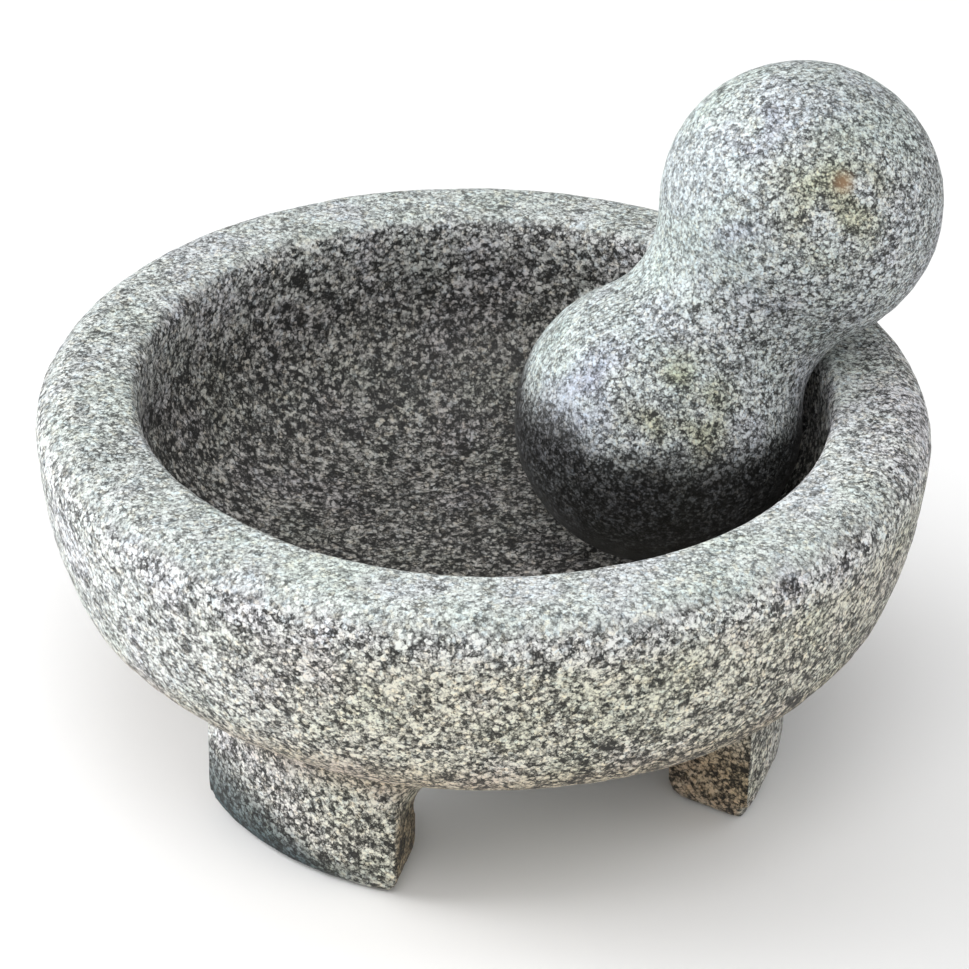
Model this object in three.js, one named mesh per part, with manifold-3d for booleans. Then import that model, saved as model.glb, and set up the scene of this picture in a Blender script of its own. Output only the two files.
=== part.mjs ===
// A molcajete: a granite mortar, carved with its three feet from one block, and its granite pestle.
// Millimetres, +Z up. The origin is on the ground, under the middle of the bowl.
// +X points to the side that the pestle leans to, and -Y to the person who grinds.
import * as THREE from "three";
import { mergeVertices } from "three/addons/utils/BufferGeometryUtils.js";
import Module from "manifold-3d";

// The bowl. Its rim is flat on top, with a well rounded outer edge.
const RIM_HEIGHT = 96.5;
const RIM_RADIUS = 102.3;
const RIM_OUTER_ROUND = 9.5;
const MOUTH_RADIUS = 77.5;
const MOUTH_ROUND = 4;

// The outside narrows a little below the rim, turns at the shoulder and runs in to a flat underside.
const FLANK = { radius: 99.2, height: 68.5, round: 60 };
const SHOULDER = { radius: 93, height: 49, round: 22 };
const UNDERSIDE = { radius: 44.5, height: 18, round: 22 };

// The grinding cavity has a steep wall, and a corner that the pestle's bulb fits.
const CAVITY_DEPTH = 49.2;
const CAVITY_CORNER = { radius: 74.8, height: 50, round: 34 };

// Each foot is a block bent round the middle of the bowl, with flat ends and rounded lower edges.
// They are carved by eye, so the right one is deeper than the front left and the back one.
const FEET = [
  { angle: -128, spread: 49, innerRadius: 52, outerRadius: 69.5 },
  { angle: -5, spread: 51, innerRadius: 50.5, outerRadius: 72.5 },
  { angle: 114, spread: 50, innerRadius: 52, outerRadius: 70 },
];
const FOOT_ROUND = 6;
const FOOT_ROOT_HEIGHT = 40;

// The pestle is two bulbs joined by a waist. Its axis starts in the middle of the grinding bulb.
const GRINDING_BULB_RADIUS = 33.3;
const GRIP_BULB_RADIUS = 32.4;
const BULB_SPACING = 59.4;
const WAIST_RADIUS = 23.5;
const WAIST_HEIGHT = 30;

// How the pestle stands in the bowl: the grinding bulb in the cavity, and the waist on the rim.
const PESTLE_PLACE = new THREE.Vector3(39.8, 9.1, 82.4);
const PESTLE_TILT = 34.3;
const PESTLE_LEAN_DIRECTION = 25;

// Points closer than this are the same point.
const SAME_POINT = 1e-3;

// Fineness of the facets: degrees of arc in outlines, flats in a full turn, and flats on each of a
// foot's long sides and rounded edges.
const ARC_STEP = 10;
const BOWL_FLATS = 64;
const PESTLE_FLATS = 40;
const FOOT_ARC_FLATS = 6;
const FOOT_ROUND_FLATS = 3;

const { degToRad, radToDeg } = THREE.MathUtils;

const wasm = await Module();
wasm.setup();

// Points on an arc about a centre, from one angle to another, in degrees, both ends included.
function arc(centre, radius, from, to) {
  const steps = Math.ceil(Math.abs(to - from) / ARC_STEP);
  return Array.from({ length: steps + 1 }, (_, i) => {
    const angle = degToRad(from + ((to - from) * i) / steps);
    return new THREE.Vector2(Math.cos(angle), Math.sin(angle)).multiplyScalar(radius).add(centre);
  });
}

// The arc that rounds an outline's corner, which lies between two other points of the outline.
function roundedCorner(before, corner, after, round) {
  const toBefore = before.clone().sub(corner).normalize();
  const toAfter = after.clone().sub(corner).normalize();
  const halfAngle = Math.acos(toBefore.dot(toAfter)) / 2;
  const toCentre = toBefore.clone().add(toAfter).setLength(round / Math.sin(halfAngle));
  const centre = corner.clone().add(toCentre);
  const reach = round / Math.tan(halfAngle);
  const start = toBefore.multiplyScalar(reach).sub(toCentre);
  const end = toAfter.multiplyScalar(reach).sub(toCentre);
  const from = radToDeg(start.angle());
  const turn = radToDeg(Math.atan2(start.cross(end), start.dot(end)));
  return arc(centre, round, from, from + turn);
}

// An outline from corners of { radius, height, round }. The first and last stay sharp.
function roundedOutline(corners) {
  const points = corners.map((corner) => new THREE.Vector2(corner.radius, corner.height));
  const last = points.length - 1;
  return points.flatMap((point, i) =>
    i === 0 || i === last
      ? [point]
      : roundedCorner(points[i - 1], point, points[i + 1], corners[i].round),
  );
}

// A solid turned about +Z from an outline that starts and ends on the axis.
function turned(outline, flats) {
  return new THREE.LatheGeometry(outline, flats).rotateX(Math.PI / 2);
}

function toSolid(geometry) {
  geometry.deleteAttribute("normal");
  geometry.deleteAttribute("uv");
  const merged = mergeVertices(geometry, SAME_POINT);
  const vertProperties = merged.attributes.position.array;
  const triVerts = new Uint32Array(merged.index.array);
  return new wasm.Manifold(new wasm.Mesh({ numProp: 3, vertProperties, triVerts }));
}

function toGeometry(solid) {
  const { vertProperties, triVerts } = solid.getMesh();
  return new THREE.BufferGeometry()
    .setAttribute("position", new THREE.BufferAttribute(vertProperties, 3))
    .setIndex(new THREE.BufferAttribute(triVerts, 1));
}

// The bowl's outline goes from the underside's middle round the rim to the cavity's middle.
function bowlGeometry() {
  const outline = roundedOutline([
    { radius: 0, height: UNDERSIDE.height },
    UNDERSIDE,
    SHOULDER,
    FLANK,
    { radius: RIM_RADIUS, height: RIM_HEIGHT, round: RIM_OUTER_ROUND },
    { radius: MOUTH_RADIUS, height: RIM_HEIGHT, round: MOUTH_ROUND },
    CAVITY_CORNER,
    { radius: 0, height: RIM_HEIGHT - CAVITY_DEPTH },
  ]);
  return turned(outline, BOWL_FLATS);
}

// A foot seen from above, centred on +X: an inner and an outer arc, closed by two radial ends.
function footPlan({ spread, innerRadius, outerRadius }) {
  const halfSpread = degToRad(spread / 2);
  return new THREE.Shape()
    .absarc(0, 0, outerRadius, -halfSpread, halfSpread, false)
    .absarc(0, 0, innerRadius, halfSpread, -halfSpread, true);
}

// The foot stands on z = 0, and its top ends inside the bowl's stone.
function footGeometry(foot) {
  return new THREE.ExtrudeGeometry(footPlan(foot), {
    depth: FOOT_ROOT_HEIGHT - 2 * FOOT_ROUND,
    curveSegments: FOOT_ARC_FLATS / 2,
    bevelThickness: FOOT_ROUND,
    bevelSize: FOOT_ROUND,
    bevelOffset: -FOOT_ROUND,
    bevelSegments: FOOT_ROUND_FLATS,
  })
    .translate(0, 0, FOOT_ROUND)
    .rotateZ(degToRad(foot.angle));
}

function mortarGeometry() {
  const feet = FEET.map((foot) => toSolid(footGeometry(foot)));
  return toGeometry(feet.reduce((stone, foot) => stone.add(foot), toSolid(bowlGeometry())));
}

// Half of the pestle's outline, from a bulb's end to the waist: the bulb at height 0, the waist
// above it, and between them a hollow that touches the bulb smoothly.
function halfOutline(bulbRadius, waistHeight) {
  const hollow =
    (waistHeight ** 2 + WAIST_RADIUS ** 2 - bulbRadius ** 2) / (2 * (bulbRadius - WAIST_RADIUS));
  const hollowCentre = new THREE.Vector2(WAIST_RADIUS + hollow, waistHeight);
  const join = radToDeg(hollowCentre.angle());
  const bulb = arc(new THREE.Vector2(), bulbRadius, -90, join);
  return [...bulb, ...arc(hollowCentre, hollow, 180 + join, 180).slice(1)];
}

function pestleGeometry() {
  const grinding = halfOutline(GRINDING_BULB_RADIUS, WAIST_HEIGHT);
  const grip = halfOutline(GRIP_BULB_RADIUS, BULB_SPACING - WAIST_HEIGHT)
    .map((point) => new THREE.Vector2(point.x, BULB_SPACING - point.y))
    .reverse();
  return turned([...grinding, ...grip.slice(1)], PESTLE_FLATS);
}

function namedMesh(name, geometry, color, roughness) {
  const material = new THREE.MeshStandardMaterial({ color, roughness, metalness: 0 });
  const mesh = new THREE.Mesh(geometry, material);
  mesh.name = name;
  return mesh;
}

const mortar = namedMesh("mortar", mortarGeometry(), 0x9b9d96, 0.92);

const pestle = namedMesh("pestle", pestleGeometry(), 0x8e9194, 0.85);
pestle.position.copy(PESTLE_PLACE);
pestle.rotation.set(0, degToRad(PESTLE_TILT), degToRad(PESTLE_LEAN_DIRECTION), "ZYX");

const molcajete = new THREE.Group();
molcajete.add(mortar, pestle);

export default molcajete;
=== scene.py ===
"""The looks of a molcajete: a granite mortar on three carved feet, and the granite pestle in it.

Metres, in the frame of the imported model: +Z up, the origin on the ground under the middle of the bowl,
+X towards the side that the pestle leans to, and -Y towards the person who grinds.
"""

import math

import bpy
import numpy as np
from mathutils import Matrix, Vector, noise


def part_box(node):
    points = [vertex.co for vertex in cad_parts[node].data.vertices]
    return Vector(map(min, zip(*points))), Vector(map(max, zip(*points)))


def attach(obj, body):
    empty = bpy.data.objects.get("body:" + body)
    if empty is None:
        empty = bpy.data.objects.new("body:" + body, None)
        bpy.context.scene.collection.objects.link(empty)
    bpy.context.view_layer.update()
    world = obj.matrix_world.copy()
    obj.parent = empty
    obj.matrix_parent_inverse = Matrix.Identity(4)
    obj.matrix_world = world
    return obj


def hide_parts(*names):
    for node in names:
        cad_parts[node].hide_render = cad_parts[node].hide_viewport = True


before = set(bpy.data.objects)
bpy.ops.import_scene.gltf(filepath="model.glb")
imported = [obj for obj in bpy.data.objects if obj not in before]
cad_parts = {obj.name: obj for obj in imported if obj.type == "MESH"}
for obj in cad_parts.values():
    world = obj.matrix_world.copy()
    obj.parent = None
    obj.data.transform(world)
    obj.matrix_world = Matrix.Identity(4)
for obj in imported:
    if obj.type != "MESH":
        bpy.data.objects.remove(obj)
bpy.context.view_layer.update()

MM = 0.001

# ---------------------------------------------------------------- how fine mesh and grain are

MORTAR_VOXEL = 1.3 * MM
PESTLE_VOXEL = 0.9 * MM
SMOOTHING_PASSES = 3
SOFTENING_PASSES = 125
MORTAR_CRYSTAL = 1.15 * MM
PESTLE_CRYSTAL = 0.84 * MM

# ---------------------------------------------------------------- places

# The rim's height is read from the frame. The other measures are those of the CAD's profiles.
_, MORTAR_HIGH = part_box("mortar")
RIM_TOP = MORTAR_HIGH.z
MOUTH_RADIUS = 77.5 * MM
UNDERSIDE_HEIGHT = 18 * MM
UNDERSIDE_RADIUS = 44.5 * MM
UNDERSIDE_SLOPE = 0.64
FOOT_INNER_RADIUS = 50.5 * MM
FOOT_OUTER_RADIUS = 72.5 * MM

# The pestle's axis runs through the middles of its two bulbs, which are about equally large.
GRINDING_CENTRE = Vector((39.8, 9.1, 82.4)) * MM
LEAN_DIRECTION = Matrix.Rotation(math.radians(25), 3, "Z")
TILT = Matrix.Rotation(math.radians(34.3), 3, "Y")
PESTLE_AXIS = LEAN_DIRECTION @ TILT @ Vector((0, 0, 1))
BULB_SPACING = 59.4 * MM
BULB_RADIUS = 33 * MM
GRIP_CENTRE = GRINDING_CENTRE + BULB_SPACING * PESTLE_AXIS

# The person who grinds looks down at the bowl from the front.
VIEW_ELEVATION = math.radians(31.5)
TO_PERSON = Vector((0, -math.cos(VIEW_ELEVATION), math.sin(VIEW_ELEVATION)))
PERSONS_UP = Vector((0, math.sin(VIEW_ELEVATION), math.cos(VIEW_ELEVATION)))

# ---------------------------------------------------------------- small tools


def smoothstep(low, high, value):
    """0 below low, 1 above high, and a smooth turn between them. low may be the larger one."""
    t = np.clip((value - low) / (high - low), 0, 1)
    return t * t * (3 - 2 * t)


def vertices_and_normals(mesh):
    points = np.empty(len(mesh.vertices) * 3)
    normals = np.empty(len(mesh.vertices) * 3)
    mesh.vertices.foreach_get("co", points)
    mesh.vertex_normals.foreach_get("vector", normals)
    return points.reshape(-1, 3), normals.reshape(-1, 3)


def noise_at(points, size, seed):
    """Perlin noise from about -1 to 1, with features of that size, at every point."""
    offset = Vector((seed * 7.13, seed * 3.71, seed * 5.39))
    return np.array([noise.noise(Vector(p) / size + offset) for p in points])


def radius_and_height(points):
    """How far every point is from the bowl's axis, and from the ground."""
    return np.hypot(points[:, 0], points[:, 1]), points[:, 2]


def near(points, centre, radius):
    """1 at a place, falling smoothly to 0 at that radius round it."""
    return smoothstep(radius, 0, np.linalg.norm(points - np.array(centre), axis=1))


def on_bulb(centre, right, up):
    """The point of a bulb's surface that far right and up, in mm, as the person who grinds sees it."""
    aside = Vector((right, 0, 0)) + up * PERSONS_UP
    return centre + (TO_PERSON + aside * MM / BULB_RADIUS).normalized() * BULB_RADIUS


# ---------------------------------------------------------------- geometry


def remeshed_stone(node, name, voxel):
    """A new object with the CAD node's shape as an even, fine and softened mesh."""
    stone = bpy.data.objects.new(name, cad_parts[node].data.copy())
    bpy.context.scene.collection.objects.link(stone)
    remesh = stone.modifiers.new("remesh", "REMESH")
    remesh.mode = "VOXEL"
    remesh.voxel_size = voxel
    remesh.use_smooth_shade = True
    smooth = stone.modifiers.new("smooth", "SMOOTH")
    smooth.factor = 0.5
    smooth.iterations = SMOOTHING_PASSES
    apply_modifiers(stone)
    return stone


def apply_modifiers(obj):
    depsgraph = bpy.context.evaluated_depsgraph_get()
    mesh = bpy.data.meshes.new_from_object(obj.evaluated_get(depsgraph))
    obj.modifiers.clear()
    obj.data = mesh
    mesh.name = obj.name


def soften_where(obj, weights):
    """Smooths the mesh where the weights say, as a carver eases an inner corner."""
    group = obj.vertex_groups.new(name="soften")
    for index in np.nonzero(weights > 0.01)[0]:
        group.add([int(index)], float(weights[index]), "REPLACE")
    smooth = obj.modifiers.new("soften", "SMOOTH")
    smooth.factor = 0.5
    smooth.iterations = SOFTENING_PASSES
    smooth.vertex_group = group.name
    apply_modifiers(obj)
    obj.vertex_groups.clear()


def carve(obj, depth):
    """Moves each vertex into the stone by its depth, so that the stone stays inside its CAD solid."""
    points, normals = vertices_and_normals(obj.data)
    points = points - normals * depth[:, None]
    obj.data.vertices.foreach_set("co", points.ravel())
    obj.data.update()


def paint(obj, name, values):
    """Stores a smooth mask on the vertices for the stone's material to read."""
    attribute = obj.data.attributes.new(name, "FLOAT", "POINT")
    attribute.data.foreach_set("value", np.clip(values, 0, 1).astype(np.float32))


def underside_height(radius):
    """The height of the bowl's sloping underside, where the feet grow out of it."""
    return UNDERSIDE_HEIGHT + np.maximum(radius - UNDERSIDE_RADIUS, 0) * UNDERSIDE_SLOPE


def inside_cavity(radius, height):
    """1 on the cavity's surface, and 0 on the outside and the underside of the bowl."""
    above_underside = smoothstep(6 * MM, 9 * MM, height - underside_height(radius))
    return above_underside * smoothstep(MOUTH_RADIUS + 2 * MM, MOUTH_RADIUS - 2 * MM, radius)


def make_mortar():
    stone = remeshed_stone("mortar", "granite_mortar", MORTAR_VOXEL)
    points, _ = vertices_and_normals(stone.data)
    radius, height = radius_and_height(points)
    beside_feet = smoothstep(FOOT_INNER_RADIUS - 12 * MM, FOOT_INNER_RADIUS - 4 * MM, radius)
    beside_feet *= smoothstep(FOOT_OUTER_RADIUS + 12 * MM, FOOT_OUTER_RADIUS + 4 * MM, radius)
    from_root = np.abs(height - underside_height(radius))
    soften_where(stone, beside_feet * smoothstep(10 * MM, 3 * MM, from_root))

    # Depths in mm of slow waves, chisel marks, pits, and wear along the feet's outer lower edge.
    # The faces that the feet stand on stay flat.
    points, _ = vertices_and_normals(stone.data)
    radius, height = radius_and_height(points)
    off_ground = smoothstep(0.3 * MM, 3 * MM, height)
    on_rim = smoothstep(RIM_TOP - 4 * MM, RIM_TOP - 1 * MM, height)
    waves = 0.5 + 0.5 * noise_at(points, 38 * MM, 1)
    chisel = 0.5 + 0.5 * noise_at(points, 9 * MM, 2)
    pits = np.maximum(0, noise_at(points, 3.4 * MM, 3) - 0.2)
    pit_depth = 0.6 + 1.1 * inside_cavity(radius, height) - 0.35 * on_rim
    outer_edge = smoothstep(FOOT_OUTER_RADIUS - 6 * MM, FOOT_OUTER_RADIUS, radius)
    worn_edge = 1.4 * outer_edge * smoothstep(10 * MM, 2 * MM, height)
    carve(stone, off_ground * (0.8 * waves + 0.3 * chisel + pit_depth * pits + worn_edge) * MM)
    return stone


def paint_mortar(stone):
    points, normals = vertices_and_normals(stone.data)
    x, y, height = points.T
    radius = np.maximum(np.hypot(x, y), MM)
    # The cavity's wall below the lip is darker: seasoning from food, and painted shade in the hollow.
    ragged = noise_at(points, 9 * MM, 7)
    below_lip = smoothstep(RIM_TOP - 2 * MM, RIM_TOP - 13 * MM, height + 2.5 * MM * ragged)
    paint(stone, "seasoned_and_shade", inside_cavity(radius, height) * below_lip)

    # The rim is rubbed even, but less so at its left end, and hardly at all at its right end.
    # The left flank faces the light and gets half as much of this even, cool tone, as painted light.
    facing_up = smoothstep(0.45, 0.95, normals[:, 2] + 0.12 * ragged)
    rubbed = 1 - 0.2 * smoothstep(-50 * MM, -95 * MM, x) - 0.9 * smoothstep(70 * MM, 98 * MM, x)
    on_rim = smoothstep(RIM_TOP - 9 * MM, RIM_TOP - 2 * MM, height)
    outward = (x * normals[:, 0] + y * normals[:, 1]) / radius
    left_flank = smoothstep(0.3, 0.7, outward) * smoothstep(-30 * MM, -80 * MM, x)
    left_flank *= smoothstep(32 * MM, 44 * MM, height)
    paint(stone, "fine", facing_up * on_rim)
    paint(stone, "honed_and_lit", facing_up * on_rim * rubbed + 0.5 * left_flank)

    # The feet's ends and inner faces, and the fold at their root, are brown and darker: partly a
    # moisture stain, partly painted shade on faces turned from the light and in the crease.
    round_axis = np.abs(x * normals[:, 1] - y * normals[:, 0]) / radius
    on_foot = smoothstep(UNDERSIDE_HEIGHT + 12 * MM, UNDERSIDE_HEIGHT - 2 * MM, height)
    shaded_side = np.maximum(smoothstep(0.5, 0.95, round_axis), smoothstep(-0.2, -0.9, outward))
    from_root = np.abs(height - underside_height(radius))
    at_root = smoothstep(9 * MM, 1 * MM, from_root)
    at_root *= smoothstep(FOOT_INNER_RADIUS, FOOT_OUTER_RADIUS - 6 * MM, radius)
    paint(stone, "damp_and_shade", np.maximum(on_foot * shaded_side, 0.6 * at_root))

    # A blue-black band runs along the left foot's lower edge and rises to the left, and the foot's
    # shaded faces get some of it as painted shade.
    band = (10 + 15 * smoothstep(-30 * MM, -58 * MM, x)) * MM
    within_band = (height + 3 * MM * ragged) / band
    low_on_left = 0.82 * smoothstep(1, 0.45, within_band) + 0.18 * smoothstep(0.5, 0.15, within_band)
    low_on_left *= smoothstep(-14 * MM, -38 * MM, x)
    left_foot = on_foot * smoothstep(5 * MM, -12 * MM, x) * smoothstep(0, -20 * MM, y)
    paint(stone, "dark_band_and_shade", left_foot * np.maximum(low_on_left, 0.35 * shaded_side))

    # The stone is a little darker on the left and right feet, on the rim's left and back, in a spot at
    # the rim's right, and on the belly towards the right.
    far_rim = on_rim * np.maximum(smoothstep(-35 * MM, -90 * MM, x), smoothstep(20 * MM, 80 * MM, y))
    rim_spot = near(points, (90 * MM, 16 * MM, RIM_TOP), 16 * MM)
    right_foot = on_foot * smoothstep(30 * MM, 48 * MM, x)
    right_belly = smoothstep(-35 * MM, 50 * MM, x) * smoothstep(20 * MM, -20 * MM, y)
    right_belly *= smoothstep(RIM_TOP - 10 * MM, RIM_TOP - 50 * MM, height)
    right_belly *= smoothstep(0.2, 0.6, outward)
    on_feet = 0.6 * left_foot + 0.35 * right_foot
    paint(stone, "dusky", on_feet + 0.4 * far_rim + 0.3 * rim_spot + 0.9 * right_belly * (1 - on_foot))

    # The front is faintly olive below the rim.
    below_rim = smoothstep(RIM_TOP - 4 * MM, RIM_TOP - 16 * MM, height)
    on_front = smoothstep(-75 * MM, -10 * MM, x) * smoothstep(10 * MM, -40 * MM, y)
    paint(stone, "olive", below_rim * on_front)


def make_pestle():
    stone = remeshed_stone("pestle", "granite_pestle", PESTLE_VOXEL)
    points, _ = vertices_and_normals(stone.data)

    # Depths in mm of slow waves, chisel marks and pits, all less than on the mortar.
    waves = 0.5 + 0.5 * noise_at(points, 24 * MM, 4)
    chisel = 0.5 + 0.5 * noise_at(points, 7 * MM, 5)
    pits = np.maximum(0, noise_at(points, 2.6 * MM, 8) - 0.35)
    carve(stone, (0.6 * waves + 0.16 * chisel + 0.3 * pits) * MM)
    return stone


def paint_pestle(stone):
    points, normals = vertices_and_normals(stone.data)
    ragged = noise_at(points, 11 * MM, 6)
    blotchy = smoothstep(-0.35, 0.3, noise_at(points, 8 * MM, 9))

    # The lower half is darker up to a ragged line, which is higher on the left. It is partly moist from
    # the food, and partly painted shade and painted shadow at the grinding end.
    # The rest is rubbed by the hand on the left and on top, and there it also gets an even, washed-out
    # tone as painted light.
    wet_and_shade_line = RIM_TOP - 8 * MM + 5 * MM * smoothstep(-0.3, -1, normals[:, 0])
    wet_and_shade = smoothstep(wet_and_shade_line + 7 * MM, wet_and_shade_line - 6 * MM, points[:, 2] + 3 * MM * ragged)
    paint(stone, "seasoned_and_shade", wet_and_shade)
    paint(stone, "wet_and_shade", wet_and_shade)
    on_left = 0.95 * smoothstep(0, -0.8, normals[:, 0])
    on_top = 0.6 * smoothstep(0.4, 0.95, normals[:, 2])
    paint(stone, "honed_and_lit", np.maximum(on_left, on_top) * (1 - wet_and_shade))

    # The front of both bulbs has olive and lilac stains, and the grip has a cluster of dark crystals
    # and a rust spot. The grinding bulb's front is a little darker all over.
    grip_stain = near(points, on_bulb(GRIP_CENTRE, 6, -1), 21 * MM)
    grinding_stain = near(points, on_bulb(GRINDING_CENTRE, 3, 1), 20 * MM)
    stained = blotchy * (grip_stain + 1.2 * grinding_stain)
    paint(stone, "olive", 1.3 * stained)
    low_front = near(points, on_bulb(GRINDING_CENTRE, 2, 4), 34 * MM)
    dark_cluster = near(points, on_bulb(GRIP_CENTRE, 0, 13), 5 * MM)
    paint(stone, "dusky", 0.6 * stained + 0.45 * low_front + dark_cluster)
    grip_lilac = near(points, on_bulb(GRIP_CENTRE, -13, 17), 13 * MM)
    grip_lilac += near(points, on_bulb(GRIP_CENTRE, -20, -9), 12 * MM)
    grinding_lilac = near(points, on_bulb(GRINDING_CENTRE, -18, 6), 20 * MM)
    paint(stone, "lilac", 0.9 * blotchy * (grip_lilac + grinding_lilac))
    paint(stone, "rust", 1.2 * near(points, on_bulb(GRIP_CENTRE, 7.4, 2.6), 4 * MM))


# ---------------------------------------------------------------- material


class Shader:
    """A material's node tree, with short calls for making and joining nodes."""

    # The places of the colour sockets of a Mix node, among its inputs and its outputs.
    COLOUR_A = 6
    COLOUR_B = 7
    MIXED_COLOUR = 2

    def __init__(self, name):
        self.material = bpy.data.materials.new(name)
        self.material.use_nodes = True
        self.tree = self.material.node_tree
        self.tree.nodes.clear()

    def node(self, kind, inputs, **settings):
        made = self.tree.nodes.new("ShaderNode" + kind)
        for key, value in settings.items():
            setattr(made, key, value)
        for key, value in inputs.items():
            socket = made.inputs[key]
            if isinstance(value, bpy.types.NodeSocket):
                self.tree.links.new(value, socket)
            else:
                socket.default_value = value
        return made

    def math(self, operation, a, b):
        return self.node("Math", {0: a, 1: b}, operation=operation).outputs[0]

    def vector_math(self, operation, inputs):
        return self.node("VectorMath", inputs, operation=operation).outputs[0]

    def mix(self, factor, a, b, blend="MIX"):
        """Colour a blended towards colour b."""
        made = self.node("Mix", {"Factor": factor}, data_type="RGBA", blend_type=blend)
        for index, value in ((self.COLOUR_A, a), (self.COLOUR_B, b)):
            socket = made.inputs[index]
            if isinstance(value, bpy.types.NodeSocket):
                self.tree.links.new(value, socket)
            else:
                socket.default_value = (*value, 1)
        return made.outputs[self.MIXED_COLOUR]

    def span(self, value, low, high, to_low=0.0, to_high=1.0):
        """A value between low and high, mapped smoothly to another span."""
        inputs = {
            "Value": value,
            "From Min": low,
            "From Max": high,
            "To Min": to_low,
            "To Max": to_high,
        }
        return self.node("MapRange", inputs, interpolation_type="SMOOTHSTEP").outputs["Result"]

    def mask(self, name):
        return self.node("Attribute", {}, attribute_name=name).outputs["Fac"]

    def noise(self, place, size, detail):
        return self.node("TexNoise", {"Vector": place, "Scale": 1 / size, "Detail": detail})

    def cells(self, place, size):
        """Crystals of about that size: their random values and the distance from their middles."""
        return self.node("TexVoronoi", {"Vector": place, "Scale": 1 / size})

    def ramp(self, value, stops):
        made = self.node("ValToRGB", {"Fac": value})
        elements = made.color_ramp.elements
        while len(elements) < len(stops):
            elements.new(0.5)
        for element, (position, colour) in zip(elements, stops):
            element.position = position
            element.color = (*colour, 1)
        return made.outputs["Color"]


def speckle(shader, coordinates, grain):
    """Where the stone is dark (0.2) and pale (0.8), with crystals of about that size."""
    wobble = shader.noise(coordinates, 0.8 * grain, 1).outputs["Color"]
    shift = shader.vector_math("SUBTRACT", {0: wobble, 1: (0.5, 0.5, 0.5)})
    shift = shader.vector_math("SCALE", {0: shift, "Scale": 0.7 * grain})
    place = shader.vector_math("ADD", {0: coordinates, 1: shift})

    # Crystals of two sizes, each with a tone of its own, and paler in the middle than at the edge.
    tone = 0.0
    for size, weight in ((grain, 0.4), (0.58 * grain, 0.36)):
        crystals = shader.cells(place, size)
        value = shader.node("SeparateColor", {"Color": crystals.outputs["Color"]}).outputs[0]
        tone = shader.math("ADD", tone, shader.math("MULTIPLY", value, weight))
        core = shader.span(crystals.outputs["Distance"], 0.0, 0.8, 0.5 * weight, 0.0)
        tone = shader.math("ADD", tone, core)
    specks = shader.noise(coordinates, 0.3 * grain, 1).outputs["Fac"]
    tone = shader.math("ADD", tone, shader.span(specks, 0.3, 0.7, -0.08, 0.08))

    # Dark minerals gather a little, and now and then in a cluster of a few crystals.
    gather = shader.noise(coordinates, 3.0 * grain, 2).outputs["Fac"]
    tone = shader.math("ADD", tone, shader.span(gather, 0.25, 0.75, -0.11, 0.09))
    clusters = shader.cells(place, 11 * grain)
    chosen = shader.node("SeparateColor", {"Color": clusters.outputs["Color"]}).outputs[1]
    reach = shader.span(chosen, 0.3, 1.0, 0.02, 0.2)
    past_reach = shader.math("SUBTRACT", clusters.outputs["Distance"], reach)
    return shader.math("SUBTRACT", tone, shader.span(past_reach, 0.05, -0.05, 0.0, 0.2))


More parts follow.
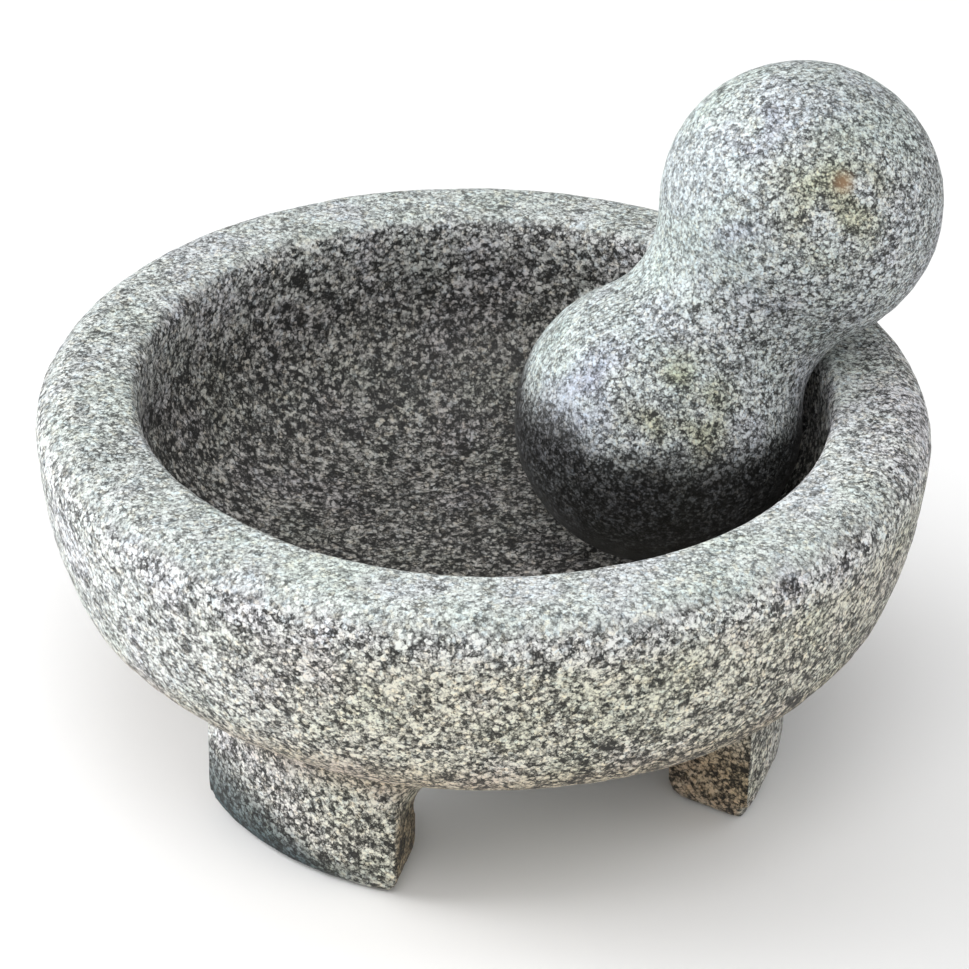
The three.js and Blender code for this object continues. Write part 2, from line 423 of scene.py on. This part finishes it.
def granite(name, grain, tones, base, stain, roughness):
    """Speckled granite.

    grain is the size of its crystals. tones run from dark to pale, base tints them all, and stain
    tints them where food has left them olive.
    """
    shader = Shader(name)
    coordinates = shader.node("TexCoord", {}).outputs["Object"]
    honed_and_lit = shader.mask("honed_and_lit")
    seasoned_and_shade = shader.mask("seasoned_and_shade")
    wet_and_shade = shader.mask("wet_and_shade")
    olive = shader.mask("olive")

    # The rim's grain is finer. Rubbed stone is more even in tone, and so are the lit faces, where that
    # evenness is painted light. Where food has soaked in, and as painted shade in the cavity and at the
    # pestle's low end, the stone is darker, and only its palest crystals still show.
    coarse = speckle(shader, coordinates, grain)
    fine = speckle(shader, coordinates, 0.74 * grain)
    grains = shader.node("Mix", {"Factor": shader.mask("fine"), "A": coarse, "B": fine}).outputs[0]
    evened = shader.span(grains, 0.0, 1.0, 0.32, 0.8)
    grains = shader.node("Mix", {"Factor": honed_and_lit, "A": grains, "B": evened}).outputs[0]
    tone = shader.math("SUBTRACT", grains, shader.math("MULTIPLY", seasoned_and_shade, 0.13))
    tone = shader.math("SUBTRACT", tone, shader.math("MULTIPLY", wet_and_shade, 0.03))
    tone = shader.math("SUBTRACT", tone, shader.math("MULTIPLY", shader.mask("dusky"), 0.1))
    stone = shader.ramp(tone, tones)
    stone = shader.mix(1.0, stone, base, "MULTIPLY")

    # Faint lilac and green patches, and crystals with a little colour of their own.
    patches = shader.noise(coordinates, 17 * MM, 2).outputs["Fac"]
    lilac_patches = shader.span(patches, 0.5, 0.66, 0.0, 0.6)
    green_patches = shader.span(patches, 0.34, 0.46, 0.7, 0.0)
    stone = shader.mix(lilac_patches, stone, (1.0, 0.97, 1.05), "MULTIPLY")
    stone = shader.mix(green_patches, stone, (0.97, 1.0, 0.965), "MULTIPLY")
    coloured = shader.cells(coordinates, 0.9 * grain).outputs["Color"]
    hues = shader.node("SeparateColor", {"Color": coloured})
    stone = shader.mix(shader.span(hues.outputs[1], 0.7, 1.0), stone, (1.04, 0.99, 0.92), "MULTIPLY")
    stone = shader.mix(shader.span(hues.outputs[2], 0.7, 1.0), stone, (0.95, 1.0, 1.05), "MULTIPLY")
    stone = shader.mix(shader.mask("lilac"), stone, (0.88, 0.87, 1.0), "MULTIPLY")
    stone = shader.mix(olive, stone, stain, "MULTIPLY")
    stone = shader.mix(shader.math("MULTIPLY", shader.mask("rust"), 0.6), stone, (0.42, 0.25, 0.13))

    # Rubbed stone is a little cooler, and so are the lit faces, as painted light. Where food or water
    # has soaked in, and as painted shade in the cavity and at the pestle's low end, the stone is darker.
    # Where moisture stains the feet, and as painted shade on their ends, inner faces and root, it is
    # brown. The lower edge of the left foot is blue-black, with some painted shade on its shaded faces.
    stone = shader.mix(honed_and_lit, stone, (0.93, 0.985, 0.97), "MULTIPLY")
    stone = shader.mix(seasoned_and_shade, stone, (0.62, 0.6, 0.57), "MULTIPLY")
    stone = shader.mix(wet_and_shade, stone, (0.3, 0.3, 0.33), "MULTIPLY")
    stone = shader.mix(shader.mask("damp_and_shade"), stone, (0.72, 0.58, 0.45), "MULTIPLY")
    stone = shader.mix(shader.mask("dark_band_and_shade"), stone, (0.12, 0.17, 0.19), "MULTIPLY")

    bump = shader.node("Bump", {"Height": grains, "Strength": 0.5, "Distance": 0.3 * MM})
    rough = shader.span(grains, 0.2, 0.8, roughness - 0.12, roughness + 0.06)
    rough = shader.math("SUBTRACT", rough, shader.math("MULTIPLY", seasoned_and_shade, 0.12))
    rough = shader.math("SUBTRACT", rough, shader.math("MULTIPLY", wet_and_shade, 0.16))
    surface = shader.node("BsdfPrincipled", {
        "Base Color": stone,
        "Roughness": rough,
        "Normal": bump.outputs["Normal"],
        "Specular IOR Level": 0.4,
    })
    shader.node("OutputMaterial", {"Surface": surface.outputs[0]})
    return shader.material


def plain(name, colour, roughness):
    shader = Shader(name)
    surface = shader.node("BsdfPrincipled", {"Base Color": (*colour, 1), "Roughness": roughness})
    shader.node("OutputMaterial", {"Surface": surface.outputs[0]})
    return shader.material


# Each stop is a tone's place on the scale from dark to pale, and its grey.
TONES = [
    (0.2, (0.022, 0.022, 0.022)),
    (0.34, (0.115, 0.115, 0.115)),
    (0.46, (0.31, 0.31, 0.31)),
    (0.58, (0.56, 0.56, 0.56)),
    (0.76, (0.86, 0.86, 0.86)),
]
SOFT_TONES = [
    (0.2, (0.03, 0.03, 0.03)),
    (0.34, (0.135, 0.135, 0.135)),
    (0.46, (0.32, 0.32, 0.32)),
    (0.58, (0.56, 0.56, 0.56)),
    (0.77, (0.86, 0.86, 0.86)),
]


def add_stone(stone, body, node, material):
    stone.data.materials.clear()
    stone.data.materials.append(material)
    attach(stone, body)
    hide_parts(node)


mortar = make_mortar()
paint_mortar(mortar)
mortar_granite = granite(
    "mortar_granite",
    MORTAR_CRYSTAL,
    TONES,
    base=(0.97, 0.98, 0.965),
    stain=(0.98, 0.945, 0.815),
    roughness=0.8,
)
add_stone(mortar, "mortar_body", "mortar", mortar_granite)

pestle = make_pestle()
paint_pestle(pestle)
pestle_granite = granite(
    "pestle_granite",
    PESTLE_CRYSTAL,
    SOFT_TONES,
    base=(0.85, 0.9, 0.9),
    stain=(0.9, 0.87, 0.68),
    roughness=0.74,
)
add_stone(pestle, "pestle_body", "pestle", pestle_granite)

# ---------------------------------------------------------------- floor, light and camera

FLOOR_HALF_SIDE = 3.0
LIGHT_DISTANCE = 2.2
LIGHT_WIDTH = 1.6
SKY_STRENGTH = 0.35
OBJECT_MIDDLE = Vector((0, 0, 0.06))
CAMERA_TARGET = Vector((0.55, 0, 69.15)) * MM
CAMERA_DISTANCE = 1.007
CAMERA_ROLL = math.radians(1.44)
FOCAL_LENGTH_MM = 164.3


def make_floor():
    half = FLOOR_HALF_SIDE
    mesh = bpy.data.meshes.new("floor")
    corners = [(-half, -half, 0), (half, -half, 0), (half, half, 0), (-half, half, 0)]
    mesh.from_pydata(corners, [], [(0, 1, 2, 3)])
    floor = bpy.data.objects.new("floor", mesh)
    bpy.context.scene.collection.objects.link(floor)
    mesh.materials.append(plain("floor_paper", (0.93, 0.93, 0.93), 0.9))


def add_soft_light(name, azimuth, elevation, watts):
    """A round soft light that shines at the object from that direction, in degrees from +X."""
    data = bpy.data.lights.new(name, "AREA")
    data.shape = "DISK"
    data.size = LIGHT_WIDTH
    data.energy = watts
    light = bpy.data.objects.new(name, data)
    across = math.cos(math.radians(elevation))
    away = Vector((
        across * math.cos(math.radians(azimuth)),
        across * math.sin(math.radians(azimuth)),
        math.sin(math.radians(elevation)),
    ))
    light.location = OBJECT_MIDDLE + LIGHT_DISTANCE * away
    light.rotation_euler = away.to_track_quat("Z", "Y").to_euler()
    bpy.context.scene.collection.objects.link(light)


def set_white_sky():
    world = bpy.data.worlds.new("studio")
    world.use_nodes = True
    background = world.node_tree.nodes["Background"]
    background.inputs["Color"].default_value = (1, 1, 1, 1)
    background.inputs["Strength"].default_value = SKY_STRENGTH
    bpy.context.scene.world = world


def add_camera():
    """The photo's view, from where the person who grinds looks down."""
    data = bpy.data.cameras.new("camera")
    data.lens = FOCAL_LENGTH_MM
    data.sensor_width = 36
    data.clip_end = 20
    camera = bpy.data.objects.new("camera", data)
    camera.location = CAMERA_TARGET + CAMERA_DISTANCE * TO_PERSON
    aim = (-TO_PERSON).to_track_quat("-Z", "Y").to_matrix()
    camera.rotation_euler = (aim @ Matrix.Rotation(CAMERA_ROLL, 3, "Z")).to_euler()
    bpy.context.scene.collection.objects.link(camera)
    bpy.context.scene.camera = camera


make_floor()
set_white_sky()
add_soft_light("key", azimuth=171, elevation=23, watts=48)
add_soft_light("front_light", azimuth=270, elevation=50, watts=24)
add_soft_light("top_light", azimuth=0, elevation=89, watts=9)
add_soft_light("right_light", azimuth=5, elevation=35, watts=5)
add_camera()
bpy.context.scene.view_settings.view_transform = "Standard"
